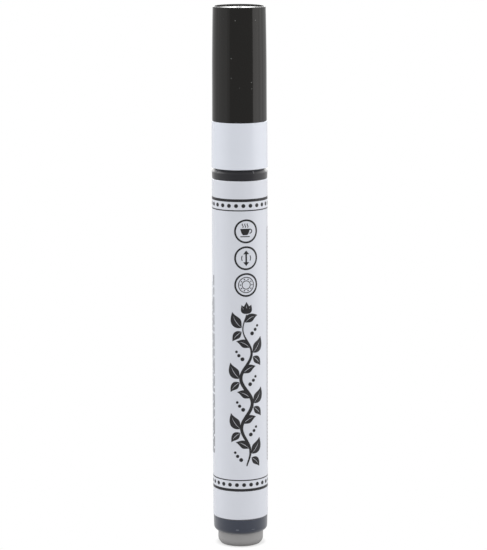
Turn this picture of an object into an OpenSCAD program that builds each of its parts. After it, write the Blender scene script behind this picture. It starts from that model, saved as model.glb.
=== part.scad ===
// Valve-action paint marker that stands on its tail with the cap up.
// Origin at the centre of the tail plug's foot, +Z along the pen towards the cap. Millimetres.

/* [Barrel] */
// Outside diameter of the barrel
barrel_d = 14; // [13:0.1:16]
// Length of the barrel
barrel_len = 87; // [70:1:110]
// Wall of the barrel
barrel_wall = 1.4; // [1.2:0.1:1.8]
// Rounding of the barrel's two outer edges
barrel_edge_r = 0.2; // [0.1:0.05:0.4]
// Width and depth of the shadow gap where the tail ring meets the barrel
seam_gap = 0.2; // [0.1:0.05:0.3]

/* [Tail] */
// How far the tail ring's side is set in from the barrel
ring_step = 0.1; // [0:0.05:0.5]
// Draft of the tail ring's side towards the foot, on the radius
ring_draft = 0.06; // [0.02:0.01:0.2]
// Height of the tail ring's side
ring_h = 4.05; // [2.5:0.05:6]
// Rounding of the tail ring's lower edge
ring_edge_r = 1.2; // [0.3:0.1:1.5]
// How far the foot's side is set in from the tail ring
foot_step = 1.1; // [0.5:0.05:2]
// Height of the foot
foot_h = 3.35; // [2.5:0.05:6]
// Rounding of the foot's lower edge
foot_edge_r = 1.8; // [0.3:0.1:2.5]
// How much of that rounding the flat under the foot takes off
foot_flat = 0.38; // [0.1:0.01:0.6]
// Diameter of the fill hole through the tail ring
fill_d = 8; // [7:0.1:8.8]
// Length of the tail ring inside the barrel
tail_spigot_len = 8; // [7:0.5:12]
// Floor of the tail plug under its core
plug_floor = 2.6; // [1.5:0.1:4]
// Length of the bead that locks the tail plug above the ring
plug_bead_len = 1.2; // [0.8:0.1:2]
// Height of that bead
plug_bead_h = 0.25; // [0.1:0.05:0.4]

/* [Mixing ball] */
// Diameter of the mixing ball
ball_d = 6; // [5:0.5:7.5]
// How far the rim that the ball rests on lies inside the ball's radius
ball_rim = 0.8; // [0.5:0.1:1.2]

/* [Front section] */
// How far the collar's side is set in from the barrel
collar_step = 0.05; // [0:0.05:0.4]
// Width and depth of the gap where the collar meets the barrel
collar_gap = 0.05; // [0.03:0.01:0.3]
// How much the collar's side widens upwards, on the radius
collar_draft = 0.05; // [0.02:0.01:0.2]
// Height of the collar's side
collar_h = 1.75; // [0.8:0.05:4]
// Height of the collar's chamfer
collar_chamfer_h = 0.75; // [0.4:0.05:1.5]
// Width of the collar's chamfer
collar_chamfer_w = 0.6; // [0.3:0.05:0.7]
// Length of the front section inside the barrel
neck_spigot_len = 12; // [8:0.5:16]
// Wall of the front section inside the barrel
neck_wall = 1.05; // [0.8:0.05:1.3]
// Length of the cone from the cap seat to the nose
shoulder_len = 2.3; // [1.5:0.1:4]
// Length of the nose
nose_len = 10.5; // [8:0.5:16]
// How much the nose narrows towards its end, on the radius
nose_taper = 0.5; // [0.1:0.05:0.8]
// Rounding of the nose's end
nose_edge_r = 0.5; // [0.2:0.05:0.8]
// Thickness of the wall between the valve chamber and the nose
front_wall = 3; // [2:0.1:5]

/* [Nib] */
// Diameter of the nib
nib_d = 0.7; // [0.5:0.1:1.2]
// How far the nib stands out of its holder
nib_out = 1.8; // [1:0.1:3]
// Length of the nib inside its holder
nib_in = 9.5; // [5:0.5:12]
// Diameter of the holder's shaft
holder_d = 4.3; // [3.6:0.1:5]
// How far the shaft stands out of the nose
holder_out = 0.3; // [0:0.1:1]
// Length of the holder's cone
cone_len = 7.2; // [5:0.1:12]
// Diameter of the cone's end
cone_tip_d = 1.5; // [1.4:0.1:2.5]
// Thickness of the flange that stops the holder
flange_h = 1.4; // [1:0.1:2]
// Diameter of the stub that pushes the valve
stub_d = 3.2; // [2.8:0.1:4]
// Length of the stub
stub_len = 2; // [1.8:0.1:3]
// Diameter of the paint channel through the holder
feed_d = 1.8; // [1.2:0.1:2.2]
// Diameter of the holes that let paint into the channel
cross_hole_d = 1; // [0.6:0.1:1.2]

/* [Valve] */
// How far the nib can be pushed in
press_travel = 1.8; // [1:0.1:2.4]
// Room for paint between the seat and the holder when the nib is pushed in
chamber_room = 1.2; // [0.5:0.1:3]
// Width of the ledge that the valve seat is clamped against
seat_ledge = 0.6; // [0.4:0.05:1]
// Thickness of the valve seat
seat_h = 1.6; // [1:0.1:2.5]
// Chamfer that the valve head closes against
seat_chamfer = 0.3; // [0.2:0.05:0.5]
// Diameter of the valve rod
rod_d = 1.8; // [1.4:0.1:2]
// Gap for paint round the rod in the seat
flow_gap = 0.6; // [0.4:0.05:0.7]
// Diameter of the valve head
head_d = 4.8; // [4.4:0.1:5]
// Height of the valve head's rim
head_rim_h = 0.6; // [0.4:0.1:1.2]
// Diameter of the pin that centres the spring
pin_d = 2.6; // [2:0.1:2.8]
// Length of that pin
pin_len = 5; // [3:0.5:6]
// Length of the spring between its two seats
spring_len = 9; // [8:0.5:14]
// Mean diameter of the spring
spring_d = 3.9; // [3.7:0.1:4.1]
// Diameter of the spring wire
wire_d = 0.45; // [0.3:0.05:0.5]
// Number of open turns of the spring
spring_turns = 5; // [3:0.5:7]
// Wall of the valve housing
housing_wall = 1.25; // [0.8:0.05:1.4]
// Floor of the valve housing
housing_floor = 1.2; // [0.8:0.1:2]
// Diameter of the port in that floor
port_d = 2.4; // [1.6:0.1:2.8]
// Width of the slots that widen the port
port_slot_w = 0.9; // [0.5:0.1:1.2]

/* [Cap] */
// How far the skirt stands out from the barrel
skirt_step = 0.05; // [0:0.05:0.4]
// Height of the skirt
skirt_h = 11.7; // [9:0.1:18]
// How much the skirt narrows towards the crown, on the radius
skirt_draw = 0.08; // [0:0.01:0.2]
// Wall of the skirt
skirt_wall = 1; // [0.8:0.05:1.2]
// Height of the bead that grips the front section
grip_bead_h = 0.2; // [0.1:0.05:0.3]
// Width of that bead
grip_bead_w = 1.2; // [0.8:0.1:2]
// Distance of that bead from the mouth
grip_bead_in = 3.2; // [2:0.1:6]
// Rounding of the skirt's two outer edges
skirt_edge_r = 0.12; // [0.05:0.01:0.4]
// How far the crown's side is set in from the skirt
crown_step = 0.11; // [0:0.01:0.5]
// Draft of the crown's straight part, on the radius
crown_draft = 0.03; // [0.02:0.01:0.1]
// How far the crown narrows above that part, on the radius
crown_draw = 0.22; // [0.1:0.01:0.4]
// Height of the crown's straight part
crown_straight = 8.4; // [6.5:0.1:12]
// Wall of the crown at its lip
lip_wall = 0.81; // [0.6:0.01:0.9]
// Wall of the crown at its top
crown_wall = 1.19; // [1:0.01:1.4]
// Roof of the crown
crown_roof = 1.53; // [1:0.01:3]
// Rounding of the crown's top edge
crown_edge_r = 0.2; // [0.1:0.05:0.5]
// Width of the flat rim round the dished top
rim_w = 0.1; // [0.1:0.05:1.5]
// Rounding of that rim's inner edge
rim_r = 0.1; // [0.05:0.01:0.2]
// Draft of the dish's side, on the radius
dish_draft = 0.02; // [0:0.01:0.3]
// Depth of the dish
dish_h = 0.32; // [0.15:0.01:0.6]
// Length of the skirt inside the crown
cap_spigot_len = 5.5; // [4:0.5:6]
// Wall of the skirt inside the crown
cap_spigot_wall = 0.6; // [0.5:0.05:0.8]
// Thickness of the web that joins that part to the skirt
cap_web = 1; // [0.8:0.1:1.5]
// Room between that web and the front section's shoulder
shoulder_gap = 0.25; // [0.15:0.05:0.5]
// Number of ribs that centre the cap seal
rib_count = 6; // [3:1:8]
// Thickness of those ribs
rib_w = 0.8; // [0.5:0.1:1.2]

/* [Cap seal] */
// Room between the seal's tube and the crown
seal_room = 0.45; // [0.3:0.05:0.8]
// Wall of the seal's tube
seal_wall = 0.7; // [0.5:0.05:0.9]
// Roof of the seal
seal_roof = 1.2; // [0.8:0.1:2]
// Height of the lip that closes round the nose
seal_lip_h = 1.2; // [0.6:0.1:2]
// How far the lip reaches past the nose's root
seal_reach = 1; // [0.3:0.1:2]
// Room above the nib
tip_room = 5.7; // [4.5:0.1:10]

/* [Fits] */
// Radial clearance between pressed pieces
press_gap = 0.02; // [0.01:0.01:0.04]
// Radial clearance of pieces that slide
slide_gap = 0.05; // [0.02:0.01:0.1]
// Clearance of pieces that meet end to end
stop_gap = 0.03; // [0.01:0.01:0.05]
// Clearance under the cap's mouth
mouth_gap = 0.25; // [0.1:0.05:0.6]
// Height of the sealing ribs on pressed pieces
rib_h = 0.13; // [0.1:0.01:0.2]
// Height of the ribs that snap into grooves
snap_h = 0.15; // [0.1:0.05:0.25]
// Width of those ribs
snap_w = 1.4; // [1:0.1:2]
// Distance of the snap ribs from the barrel's ends
snap_in = 3; // [2:0.5:4]

/* [Hidden] */
$fn = 96;

white = [0.86, 0.87, 0.90];
near_black = [0.13, 0.13, 0.13];
dark_grey = [0.18, 0.18, 0.19];
slate = [0.27, 0.29, 0.33];
warm_grey = [0.56, 0.55, 0.53];
natural = [0.90, 0.89, 0.85];
steel = [0.75, 0.76, 0.78];
rubber = [0.12, 0.12, 0.12];

// Cutting tools reach this far past what they cut, and joined outlines this far into each other
over = 0.2;
// Chamfer on ends that are pushed into another piece
lead = 0.3;
// Distance of the outer sealing rib from a pressed end
seal_rib_in = 1.5;
// Radius of the small flat at the end of the nib
tip_flat = 0.05;
// Facets round the spring wire and along one turn of it
wire_sides = 6;
turn_steps = 16;
// Steps of the crown's curved side
crown_steps = 8;

// Radii from the barrel inwards
barrel_r = barrel_d / 2;
bore_r = barrel_r - barrel_wall;
spigot_r = bore_r - press_gap - rib_h;
ring_r = barrel_r - ring_step;
ring_low_r = ring_r - ring_draft;
foot_r = ring_low_r - foot_step;
fill_r = fill_d / 2;
stem_r = fill_r - press_gap;
ball_r = ball_d / 2;
core_r = ball_r - ball_rim;
collar_r = barrel_r - collar_step;
collar_top_r = collar_r + collar_draft;
valve_bore_r = spigot_r - neck_wall;
chamber_r = valve_bore_r - seat_ledge;

// Radii of the cap, and of what goes into it
skirt_r = barrel_r + skirt_step;
skirt_bore_r = skirt_r - skirt_wall;
seat_r = skirt_bore_r - grip_bead_h - slide_gap;
skirt_top_r = skirt_r - skirt_draw;
crown_r = skirt_top_r - crown_step;
crown_mid_r = crown_r - crown_draft;
crown_top_r = crown_mid_r - crown_draw;
lip_bore_r = crown_r - lip_wall;
cap_spigot_r = lip_bore_r - press_gap;
cap_web_r = cap_spigot_r - cap_spigot_wall;
crown_bore_r = crown_top_r - crown_wall;
dish_r = crown_top_r - crown_edge_r - rim_w;
seal_r = crown_bore_r - seal_room;
seal_bore_r = seal_r - seal_wall;
nose_r = seal_bore_r - slide_gap;
nose_tip_r = nose_r - nose_taper;

// Radii of the nib and valve
nib_r = nib_d / 2;
holder_r = holder_d / 2;
holder_bore_r = holder_r + slide_gap;
flange_r = chamber_r - flow_gap / 2;
housing_r = valve_bore_r - press_gap;
rod_r = rod_d / 2;
seat_hole_r = rod_r + flow_gap;
head_r = head_d / 2;
wire_r = wire_d / 2;

// Heights from the foot upwards
z_ring = foot_h;
z_barrel = z_ring + ring_h;
z_tail_spigot = z_barrel + tail_spigot_len;
z_plug_top = z_tail_spigot + stop_gap + plug_bead_len;
z_ball = z_plug_top + sqrt(pow(ball_r, 2) - pow(core_r, 2)) + stop_gap;
z_neck = z_barrel + barrel_len;
z_neck_spigot = z_neck - neck_spigot_len;
z_collar_side = z_neck + collar_h;
z_collar = z_collar_side + collar_chamfer_h;
z_mouth = z_collar + mouth_gap;
z_skirt = z_mouth + skirt_h;
z_cap_web = z_skirt - cap_web;
z_seat_end = z_cap_web - shoulder_len * (seat_r + shoulder_gap - cap_web_r) / (seat_r - nose_r);
z_nose = z_seat_end + shoulder_len;
z_nose_end = z_nose + nose_len;
z_cone = z_nose_end + holder_out;
z_cone_end = z_cone + cone_len;
z_tip = z_cone_end + nib_out;
z_seal_roof = z_tip + tip_room;
z_crown_roof = z_seal_roof + seal_roof;
z_top = z_crown_roof + crown_roof;
z_lip_step = z_skirt + cap_spigot_len + stop_gap;
z_grip_bead = z_mouth + grip_bead_in;

// Heights from the nose down to the valve
z_ledge = z_nose - front_wall;
z_flange_top = z_ledge - stop_gap;
z_flange = z_flange_top - flange_h;
z_stub = z_flange - stub_len;
z_nib = z_cone_end - nib_in;
z_cross_hole = z_flange - cross_hole_d;
z_seat_top = z_stub - press_travel - chamber_room;
z_seat = z_seat_top - seat_h;
cone_at_seat_r = seat_hole_r + seat_chamfer - stop_gap * sqrt(2);
z_head_rim = z_seat - (head_r - cone_at_seat_r);
z_head = z_head_rim - head_rim_h;
z_housing_floor = z_head - spring_len;
z_housing = z_housing_floor - housing_floor;

// Turns an outline of radius and height about the pen's axis
module turned() {
    rotate_extrude()
        children();
}

// What a rounding takes off a square corner at radius r and height z.
// out is 1 on an outer wall and -1 in a bore; up is 1 on an upper edge and -1 on a lower one.
module rounding(r, z, edge_r, out, up) {
    size = edge_r + over;
    translate([r - out * edge_r, z - up * edge_r])
        difference() {
            translate([out > 0 ? 0 : -size, up > 0 ? 0 : -size])
                square(size);
            circle(edge_r);
        }
}

// Outline of a raised band with sloping sides on a wall at radius r, centred at height z.
// A negative height stands inwards.
module band(r, z, width, height) {
    half = sign(height) * width / 2;
    root = r - sign(height) * over;
    polygon([
        [root, z - half],
        [r, z - half],
        [r + height, z - half + height],
        [r + height, z + half - height],
        [r, z + half],
        [root, z + half]
    ]);
}

// Sealing rib near the pushed-in end of a spigot, and the rib that snaps into the barrel
module spigot_ribs(z_end, z_snap) {
    band(spigot_r, z_end, snap_w, rib_h);
    band(spigot_r, z_snap, snap_w, rib_h + snap_h);
}

// Groove in the barrel's bore that a spigot's snap rib sits in
module snap_groove(z) {
    band(bore_r, z, snap_w, snap_h);
}

module barrel() {
    color(white)
        turned()
            difference() {
                translate([bore_r, z_barrel])
                    square([barrel_wall, barrel_len]);
                snap_groove(z_barrel + snap_in);
                snap_groove(z_neck - snap_in);
                rounding(barrel_r, z_neck, barrel_edge_r, 1, 1);
                rounding(barrel_r, z_barrel, barrel_edge_r, 1, -1);
            }
}

module tail_ring() {
    color(slate)
        turned() {
            difference() {
                polygon([
                    [fill_r, z_ring],
                    [ring_low_r, z_ring],
                    [ring_low_r, z_ring + ring_edge_r],
                    [ring_r, z_barrel - seam_gap],
                    [ring_r - seam_gap, z_barrel - seam_gap],
                    [ring_r - seam_gap, z_barrel],
                    [spigot_r, z_barrel],
                    [spigot_r, z_tail_spigot - lead],
                    [spigot_r - lead, z_tail_spigot],
                    [fill_r, z_tail_spigot]
                ]);
                rounding(ring_low_r, z_ring, ring_edge_r, 1, -1);
            }
            spigot_ribs(z_tail_spigot - seal_rib_in, z_barrel + snap_in);
        }
}

module tail_plug() {
    color(warm_grey)
        turned()
            difference() {
                polygon([
                    [0, 0],
                    [foot_r, 0],
                    [foot_r, z_ring],
                    [stem_r, z_ring],
                    [stem_r, z_tail_spigot + stop_gap],
                    [stem_r + plug_bead_h, z_tail_spigot + stop_gap],
                    [stem_r + plug_bead_h, z_plug_top - plug_bead_h * 2],
                    [stem_r - plug_bead_h, z_plug_top],
                    [core_r, z_plug_top],
                    [core_r, plug_floor],
                    [0, plug_floor]
                ]);
                rounding(foot_r, -foot_flat, foot_edge_r, 1, -1);
            }
}

module mixing_ball() {
    color(steel)
        translate([0, 0, z_ball])
            sphere(ball_r);
}

// Spigot, collar, cap seat, shoulder and nose outside; valve bore, chamber and nib guide inside
module front_section() {
    color(dark_grey)
        turned() {
            difference() {
                polygon([
                    [valve_bore_r, z_neck_spigot],
                    [spigot_r - lead, z_neck_spigot],
                    [spigot_r, z_neck_spigot + lead],
                    [spigot_r, z_neck],
                    [collar_r - collar_gap, z_neck],
                    [collar_r - collar_gap, z_neck + collar_gap],
                    [collar_r, z_neck + collar_gap],
                    [collar_top_r, z_collar_side],
                    [collar_top_r - collar_chamfer_w, z_collar],
                    [seat_r, z_collar],
                    [seat_r, z_seat_end],
                    [nose_r, z_nose],
                    [nose_tip_r, z_nose_end - nose_edge_r],
                    [nose_tip_r, z_nose_end],
                    [holder_bore_r, z_nose_end],
                    [holder_bore_r, z_ledge],
                    [chamber_r, z_ledge],
                    [chamber_r, z_seat_top],
                    [valve_bore_r, z_seat_top]
                ]);
                rounding(nose_tip_r, z_nose_end, nose_edge_r, 1, 1);
                band(seat_r, z_grip_bead, grip_bead_w + lead, -grip_bead_h);
            }
            spigot_ribs(z_neck_spigot + seal_rib_in, z_neck - snap_in);
        }
}

module valve_housing() {
    color(natural)
        difference() {
            turned()
                polygon([
                    [port_d / 2, z_housing],
                    [housing_r - lead, z_housing],
                    [housing_r, z_housing + lead],
                    [housing_r, z_seat],
                    [housing_r - housing_wall, z_seat],
                    [housing_r - housing_wall, z_housing_floor],
                    [port_d / 2, z_housing_floor]
                ]);
            for (turn = [0, 90])
                rotate(turn)
                    translate([0, 0, z_housing_floor - housing_floor / 2])
                        cube([2 * (housing_r - housing_wall) - lead, port_slot_w, housing_floor + over],
                            center = true);
        }
}

module valve_seat() {
    color(rubber)
        turned()
            polygon([
                [seat_hole_r + seat_chamfer, z_seat],
                [housing_r, z_seat],
                [housing_r, z_seat_top],
                [seat_hole_r, z_seat_top],
                [seat_hole_r, z_seat + seat_chamfer]
            ]);
}

module valve_stem() {
    color(natural)
        turned()
            polygon([
                [0, z_head - pin_len],
                [pin_d / 2 - lead, z_head - pin_len],
                [pin_d / 2, z_head - pin_len + lead],
                [pin_d / 2, z_head],
                [head_r, z_head],
                [head_r, z_head_rim],
                [rod_r, z_head_rim + head_r - rod_r],
                [rod_r, z_stub],
                [0, z_stub]
            ]);
}

// Spring: one closed turn at each end, open turns between.
// At a turn count t from the lower end, the wire's centre stands at this height.
total_turns = spring_turns + 2;
z_wire_low = z_housing_floor + wire_r + stop_gap;
z_wire_high = z_head - wire_r - stop_gap;
open_rise = (z_wire_high - z_wire_low - 2 * wire_d) / spring_turns;
function wire_z(t) =
    t < 1 ? z_wire_low + wire_d * t :
    t > total_turns - 1 ? z_wire_high - wire_d * (total_turns - t) :
    z_wire_low + wire_d + open_rise * (t - 1);
function wire_point(t, side) =
    let (around = 360 * side / wire_sides, r = spring_d / 2 + wire_r * cos(around))
        [r * cos(360 * t), r * sin(360 * t), wire_z(t) + wire_r * sin(around)];

module valve_spring() {
    rings = round(total_turns * turn_steps);
    points = [for (i = [0:rings], s = [0:wire_sides - 1]) wire_point(total_turns * i / rings, s)];
    sides = [
        for (i = [0:rings - 1], s = [0:wire_sides - 1])
            let (a = i * wire_sides + s, b = i * wire_sides + (s + 1) % wire_sides)
                [a, b, b + wire_sides, a + wire_sides]
    ];
    first_end = [for (s = [wire_sides - 1:-1:0]) s];
    last_end = [for (s = [0:wire_sides - 1]) rings * wire_sides + s];
    color(steel)
        polyhedron(points, concat(sides, [first_end, last_end]));
}

module nib_holder() {
    color(natural)
        difference() {
            turned()
                polygon([
                    [0, z_stub],
                    [stub_d / 2, z_stub],
                    [stub_d / 2, z_flange],
                    [flange_r, z_flange],
                    [flange_r, z_flange_top],
                    [holder_r, z_flange_top],
                    [holder_r, z_cone],
                    [cone_tip_d / 2, z_cone_end],
                    [nib_r + press_gap, z_cone_end],
                    [nib_r + press_gap, z_nib],
                    [feed_d / 2, z_nib],
                    [feed_d / 2, z_cross_hole],
                    [0, z_cross_hole]
                ]);
            for (turn = [0, 90])
                rotate(turn) {
                    translate([0, 0, z_cross_hole])
                        rotate([90, 0, 0])
                            cylinder(d = cross_hole_d, h = stub_d + over, center = true);
                    for (side = [-1, 1])
                        translate([side * flange_r, 0, z_flange - over])
                            cylinder(r = flow_gap, h = flange_h + 2 * over);
                }
        }
}

module nib() {
    color(natural)
        turned()
            difference() {
                translate([0, z_nib])
                    square([nib_r, z_tip - z_nib]);
                rounding(nib_r, z_tip, nib_r - tip_flat, 1, 1);
            }
}

module cap_skirt() {
    color(white)
        turned() {
            difference() {
                polygon([
                    [skirt_bore_r, z_mouth],
                    [skirt_r, z_mouth],
                    [skirt_top_r, z_skirt],
                    [cap_spigot_r, z_skirt],
                    [cap_spigot_r, z_skirt + cap_spigot_len - lead],
                    [cap_spigot_r - lead, z_skirt + cap_spigot_len],
                    [cap_web_r, z_skirt + cap_spigot_len],
                    [cap_web_r, z_cap_web],
                    [skirt_bore_r, z_cap_web]
                ]);
                rounding(skirt_r, z_mouth, skirt_edge_r, 1, -1);
                rounding(skirt_top_r, z_skirt, skirt_edge_r, 1, 1);
            }
            band(skirt_bore_r, z_grip_bead, grip_bead_w, -grip_bead_h);
            band(cap_spigot_r, z_skirt + cap_spigot_len / 2, snap_w, snap_h);
        }
}

// The side is nearly straight above the skirt, then draws in along a parabola to the dished top
module cap_crown() {
    z_curve = z_skirt + crown_straight;
    z_curve_end = z_top - crown_edge_r;
    side = [
        for (i = [0:crown_steps])
            let (t = i / crown_steps)
                [crown_mid_r - crown_draw * t * t, z_curve + (z_curve_end - z_curve) * t]
    ];
    color(near_black) {
        turned()
            difference() {
                polygon(concat(
                    [[lip_bore_r, z_skirt], [crown_r, z_skirt]],
                    side,
                    [
                        [crown_top_r, z_top],
                        [dish_r, z_top],
                        [dish_r - dish_draft, z_top - dish_h],
                        [0, z_top - dish_h],
                        [0, z_crown_roof],
                        [crown_bore_r, z_crown_roof],
                        [crown_bore_r, z_lip_step],
                        [lip_bore_r, z_lip_step]
                    ]
                ));
                rounding(crown_top_r, z_top, crown_edge_r, 1, 1);
                rounding(dish_r, z_top, rim_r, -1, 1);
                rounding(crown_r, z_skirt, skirt_edge_r, 1, -1);
                band(lip_bore_r, z_skirt + cap_spigot_len / 2, snap_w, snap_h);
            }
        seal_ribs();
    }
}

// Ribs inside the crown that centre the seal's tube
module seal_ribs() {
    inner = seal_r + press_gap;
    z_ribs = z_lip_step + rib_w;
    for (i = [0:rib_count - 1])
        rotate(360 * i / rib_count)
            translate([inner, -rib_w / 2, z_ribs])
                cube([crown_bore_r - inner + over, rib_w, z_crown_roof - z_ribs + over]);
}

module cap_seal() {
    z_lip = z_nose + seal_reach;
    lip_r = nose_r - nose_taper * seal_reach / nose_len + slide_gap;
    color(natural)
        turned()
            polygon([
                [lip_r, z_lip],
                [seal_r - lead, z_lip],
                [seal_r, z_lip + lead],
                [seal_r, z_crown_roof],
                [0, z_crown_roof],
                [0, z_seal_roof],
                [seal_bore_r, z_seal_roof],
                [seal_bore_r, z_lip + seal_lip_h],
                [lip_r, z_lip + seal_lip_h / 2]
            ]);
}

barrel();
tail_ring();
tail_plug();
mixing_ball();
front_section();
valve_housing();
valve_seat();
valve_stem();
valve_spring();
nib_holder();
nib();
cap_skirt();
cap_crown();
cap_seal();
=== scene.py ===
"""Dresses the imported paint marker: finishes, barrel print, mould marks, spring, studio and camera."""

import logging
import math
from contextlib import contextmanager
from dataclasses import dataclass, field
from enum import Enum
from functools import cache
from itertools import product
from typing import Callable, Iterator, NamedTuple, Optional, Protocol, Sequence, Union

import bpy
from mathutils import Matrix, Vector


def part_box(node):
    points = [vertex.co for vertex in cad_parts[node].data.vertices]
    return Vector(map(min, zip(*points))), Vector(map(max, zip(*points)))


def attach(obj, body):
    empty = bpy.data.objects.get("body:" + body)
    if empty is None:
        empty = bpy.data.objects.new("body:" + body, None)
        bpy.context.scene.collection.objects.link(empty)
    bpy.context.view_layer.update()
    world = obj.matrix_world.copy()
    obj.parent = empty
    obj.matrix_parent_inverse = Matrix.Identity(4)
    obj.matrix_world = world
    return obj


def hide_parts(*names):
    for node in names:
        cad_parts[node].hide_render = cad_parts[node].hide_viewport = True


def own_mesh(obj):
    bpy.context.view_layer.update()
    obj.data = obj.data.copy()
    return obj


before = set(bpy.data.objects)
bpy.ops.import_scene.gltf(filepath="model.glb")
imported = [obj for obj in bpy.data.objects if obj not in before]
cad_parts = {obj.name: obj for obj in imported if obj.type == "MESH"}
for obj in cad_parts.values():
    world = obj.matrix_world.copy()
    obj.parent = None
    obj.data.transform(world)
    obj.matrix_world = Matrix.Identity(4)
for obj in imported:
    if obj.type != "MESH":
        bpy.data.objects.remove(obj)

LOG = logging.getLogger("paint_marker")
MM = 0.001
SMOOTH_ANGLE = math.radians(40)
MERGE_GAP = 0.0005 * MM
BEVEL_STEPS = 3

Point = tuple[float, float]
Place = tuple[float, float, float]
Colour = tuple[float, float, float]
Material = bpy.types.Material
Mesh = bpy.types.Object
Node = bpy.types.Node
Socket = bpy.types.NodeSocket
Feed = Union[Socket, float, Colour]
Feeds = dict[Union[str, int], Feed]
Profile = Callable[[float], float]


class Body(Enum):
    """The rigid bodies that new pieces ride on."""

    BARREL = "barrel_unit"
    CAP = "cap"


class Slot(Enum):
    """The record's material slots."""

    FRONT = "front_section"
    RING = "tail_ring"
    CROWN = "cap_crown"
    STEEL = "steel"


def srgb(red: int, green: int, blue: int) -> Colour:
    """Turns an 8-bit display colour into linear light."""
    shares = (level / 255 for level in (red, green, blue))
    return tuple(share / 12.92 if share <= 0.04045 else ((share + 0.055) / 1.055) ** 2.4 for share in shares)


class Sockets:
    """Adds nodes to a tree and joins them."""

    def __init__(self, tree: bpy.types.NodeTree) -> None:
        """Keeps the tree that nodes go into."""
        self.tree = tree

    @classmethod
    def fresh(cls, owner: Union[Material, bpy.types.World]) -> "Sockets":
        """Gives a material or a world an empty tree."""
        owner.use_nodes = True
        owner.node_tree.nodes.clear()
        return cls(owner.node_tree)

    def add(self, kind: str, feeds: Optional[Feeds] = None, **values: object) -> Node:
        """Adds a node of a type, with its attributes set and its inputs fed."""
        node = self.tree.nodes.new(kind)
        for name, value in values.items():
            setattr(node, name, value)
        self.feed(node, feeds or {})
        return node

    def feed(self, node: Node, feeds: Feeds) -> None:
        """Links sockets to a node's inputs, found by name or number, or sets the inputs to values."""
        for key, source in feeds.items():
            target = node.inputs[key]
            if isinstance(source, Socket):
                self.tree.links.new(source, target)
            else:
                target.default_value = (*source, 1) if target.type == "RGBA" else source

    def math(self, operation: str, first: Feed, second: Feed) -> Socket:
        """Adds a Math node and gives its result."""
        return self.add("ShaderNodeMath", {0: first, 1: second}, operation=operation).outputs[0]

    def map_range(self, value: Socket, low: Feed, high: Feed, to_low: float, to_high: float) -> Socket:
        """Adds a smooth Map Range node and gives its result."""
        feeds = {"Value": value, "From Min": low, "From Max": high, "To Min": to_low, "To Max": to_high}
        return self.add("ShaderNodeMapRange", feeds, interpolation_type="SMOOTHSTEP").outputs["Result"]

    def mix(self, factor: Feed, first: Feed, second: Feed, blend: str = "MIX") -> Socket:
        """Adds a Mix node for colours, whose sockets have these numbers, and gives its result."""
        feeds = {0: factor, 6: first, 7: second}
        return self.add("ShaderNodeMix", feeds, data_type="RGBA", blend_type=blend).outputs[2]

    def noise(self, place: Socket, scale: Feed, detail: float) -> Socket:
        """Adds a Noise node, with its scale per metre, and gives its value."""
        return self.add("ShaderNodeTexNoise", {"Vector": place, "Scale": scale, "Detail": detail}).outputs["Fac"]

    def bump(self, height: Socket, distance: float) -> Socket:
        """Adds a Bump node and gives its normal."""
        return self.add("ShaderNodeBump", {"Height": height, "Distance": distance}).outputs["Normal"]

    def place(self) -> Socket:
        """Adds the object coordinates."""
        return self.add("ShaderNodeTexCoord").outputs["Object"]

    def drawn_place(self, stretch: float) -> Socket:
        """Adds object coordinates whose grain is drawn out along the axis."""
        return self.add("ShaderNodeMapping", {"Vector": self.place(), "Scale": (1, 1, stretch)}).outputs["Vector"]

    def part(self, place: Socket, axis: str) -> Socket:
        """Picks one coordinate of a place."""
        return self.add("ShaderNodeSeparateXYZ", {"Vector": place}).outputs[axis]

    def blend(self, factor: Socket, first: Socket, second: Socket) -> Socket:
        """Mixes two shaders."""
        return self.add("ShaderNodeMixShader", {0: factor, 1: first, 2: second}).outputs[0]


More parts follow.
